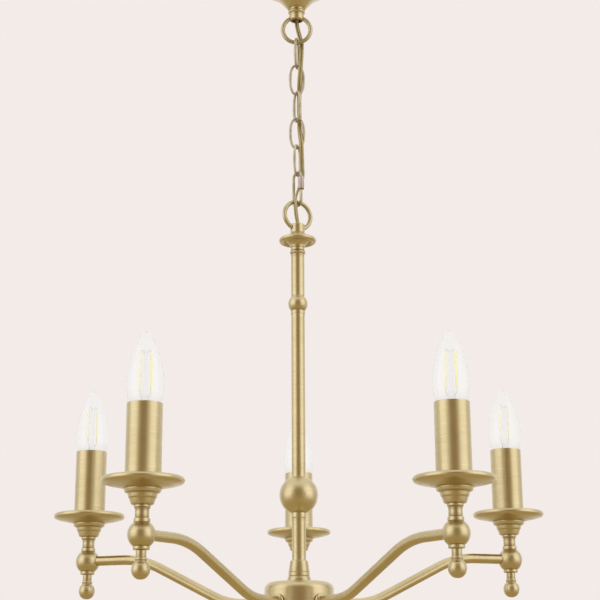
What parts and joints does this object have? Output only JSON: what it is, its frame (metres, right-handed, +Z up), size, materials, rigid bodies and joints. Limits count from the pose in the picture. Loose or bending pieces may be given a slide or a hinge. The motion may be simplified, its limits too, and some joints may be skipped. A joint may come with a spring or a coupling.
{
  "type": "chain hung chandelier",
  "caption": "Candle-style chandelier: turned brass column on a short chain, S-shaped arms, drip pans and candle tubes with clear filament lamps.",
  "frame": {"origin": "on the ceiling plane, at the centre of the mounting strap's flat top, on the fixture's axis", "axes": "+Z up out of the ceiling face; the fixture hangs down -Z; one arm points to +Y"},
  "size_m": [0.509, 0.4873, 0.7185],
  "materials": {
    "satin_brass": "satin brushed brass, clear lacquered",
    "aged_brass": "satin antique brass wire",
    "zinc_steel": "zinc plated",
    "gold_flex": "translucent gold-tinted PVC flex",
    "clear_glass": "clear lamp glass",
    "holder_plastic": "black moulded lamp holder",
    "terminal_plastic": "ivory moulded terminal block"
  },
  "bodies": {
    "ceiling_mount": {"ceiling_bracket": "zinc_steel", "ceiling_rose": "satin_brass", "rose_loop": "satin_brass", "flex_cable": "gold_flex"},
    "upper_ring": {"upper_ring": "aged_brass"},
    "chain_link_1": {"chain_link_1": "aged_brass"},
    "chain_link_2": {"chain_link_2": "aged_brass"},
    "chain_link_3": {"chain_link_3": "aged_brass"},
    "chain_link_4": {"chain_link_4": "aged_brass"},
    "chain_link_5": {"chain_link_5": "aged_brass"},
    "quick_link": {"quick_link": "aged_brass"},
    "lower_ring": {"lower_ring": "aged_brass"},
    "quick_link_nut": {"quick_link_nut": "aged_brass"},
    "chandelier": {"loop_cap": "satin_brass", "top_saucer": "satin_brass", "upper_tube": "satin_brass", "knop": "satin_brass", "long_tube": "satin_brass", "column_ball": "satin_brass", "lower_tube": "satin_brass", "base_collar": "satin_brass", "threaded_rod": "zinc_steel", "hub_shell": "satin_brass", "hub_base": "satin_brass", "hub_terminal": "terminal_plastic", "arm_1": "satin_brass", "knuckle_1": "satin_brass", "drip_pan_1": "satin_brass", "candle_tube_1": "satin_brass", "lamp_holder_1": "holder_plastic", "arm_finial_1": "satin_brass", "arm_2": "satin_brass", "knuckle_2": "satin_brass", "drip_pan_2": "satin_brass", "candle_tube_2": "satin_brass", "lamp_holder_2": "holder_plastic", "arm_finial_2": "satin_brass", "arm_3": "satin_brass", "knuckle_3": "satin_brass", "drip_pan_3": "satin_brass", "candle_tube_3": "satin_brass", "lamp_holder_3": "holder_plastic", "arm_finial_3": "satin_brass", "arm_4": "satin_brass", "knuckle_4": "satin_brass", "drip_pan_4": "satin_brass", "candle_tube_4": "satin_brass", "lamp_holder_4": "holder_plastic", "arm_finial_4": "satin_brass", "arm_5": "satin_brass", "knuckle_5": "satin_brass", "drip_pan_5": "satin_brass", "candle_tube_5": "satin_brass", "lamp_holder_5": "holder_plastic", "arm_finial_5": "satin_brass"},
    "bulb_1": {"bulb_1": "clear_glass"},
    "bulb_2": {"bulb_2": "clear_glass"},
    "bulb_3": {"bulb_3": "clear_glass"},
    "bulb_4": {"bulb_4": "clear_glass"},
    "bulb_5": {"bulb_5": "clear_glass"}
  },
  "joints": [
    {"name": "upper_ring_swing", "type": "hinge", "parent": "ceiling_mount", "child": "upper_ring", "pos_m": [0, 0, -0.0426], "axis": [1, 0, 0], "range_deg": [-15, 15], "deforming": ["flex_cable"]},
    {"name": "chain_link_1_swing", "type": "hinge", "parent": "upper_ring", "child": "chain_link_1", "pos_m": [0, 0, -0.0729], "axis": [-1, 0, 0], "range_deg": [-25, 25], "deforming": ["flex_cable"]},
    {"name": "chain_link_2_swing", "type": "hinge", "parent": "chain_link_1", "child": "chain_link_2", "pos_m": [0, 0, -0.1033], "axis": [0.225, 0.9744, 0], "range_deg": [-25, 25], "deforming": ["flex_cable"]},
    {"name": "chain_link_3_swing", "type": "hinge", "parent": "chain_link_2", "child": "chain_link_3", "pos_m": [0, 0, -0.1345], "axis": [0.9945, 0.1045, 0], "range_deg": [-25, 25], "deforming": ["flex_cable"]},
    {"name": "chain_link_4_swing", "type": "hinge", "parent": "chain_link_3", "child": "chain_link_4", "pos_m": [0, 0, -0.1657], "axis": [0.4384, -0.8988, 0], "range_deg": [-25, 25], "deforming": ["flex_cable"]},
    {"name": "chain_link_5_swing", "type": "hinge", "parent": "chain_link_4", "child": "chain_link_5", "pos_m": [0, 0, -0.1969], "axis": [-0.9998, -0.0175, 0], "range_deg": [-25, 25], "deforming": ["flex_cable"]},
    {"name": "quick_link_swing", "type": "hinge", "parent": "chain_link_5", "child": "quick_link", "pos_m": [0, 0, -0.2281], "axis": [0.4067, 0.9135, 0], "range_deg": [-25, 25], "deforming": ["flex_cable"]},
    {"name": "lower_ring_swing", "type": "hinge", "parent": "quick_link", "child": "lower_ring", "pos_m": [0, 0, -0.2622], "axis": [0.6157, -0.788, 0], "range_deg": [-25, 25], "deforming": ["flex_cable"]},
    {"name": "chandelier_swing", "type": "hinge", "parent": "lower_ring", "child": "chandelier", "pos_m": [0, 0, -0.2885], "axis": [-0.891, -0.454, 0], "range_deg": [-15, 15], "deforming": ["flex_cable"]},
    {"name": "quick_link_nut_slide", "type": "slide", "parent": "quick_link", "child": "quick_link_nut", "axis": [0, 0, 1], "range_m": [-0.0098, 0]},
    {"name": "bulb_1_draw", "type": "slide", "parent": "chandelier", "child": "bulb_1", "axis": [0, 0, 1], "range_m": [0, 0.04]},
    {"name": "bulb_2_draw", "type": "slide", "parent": "chandelier", "child": "bulb_2", "axis": [0, 0, 1], "range_m": [0, 0.04]},
    {"name": "bulb_3_draw", "type": "slide", "parent": "chandelier", "child": "bulb_3", "axis": [0, 0, 1], "range_m": [0, 0.04]},
    {"name": "bulb_4_draw", "type": "slide", "parent": "chandelier", "child": "bulb_4", "axis": [0, 0, 1], "range_m": [0, 0.04]},
    {"name": "bulb_5_draw", "type": "slide", "parent": "chandelier", "child": "bulb_5", "axis": [0, 0, 1], "range_m": [0, 0.04]}
  ]
}
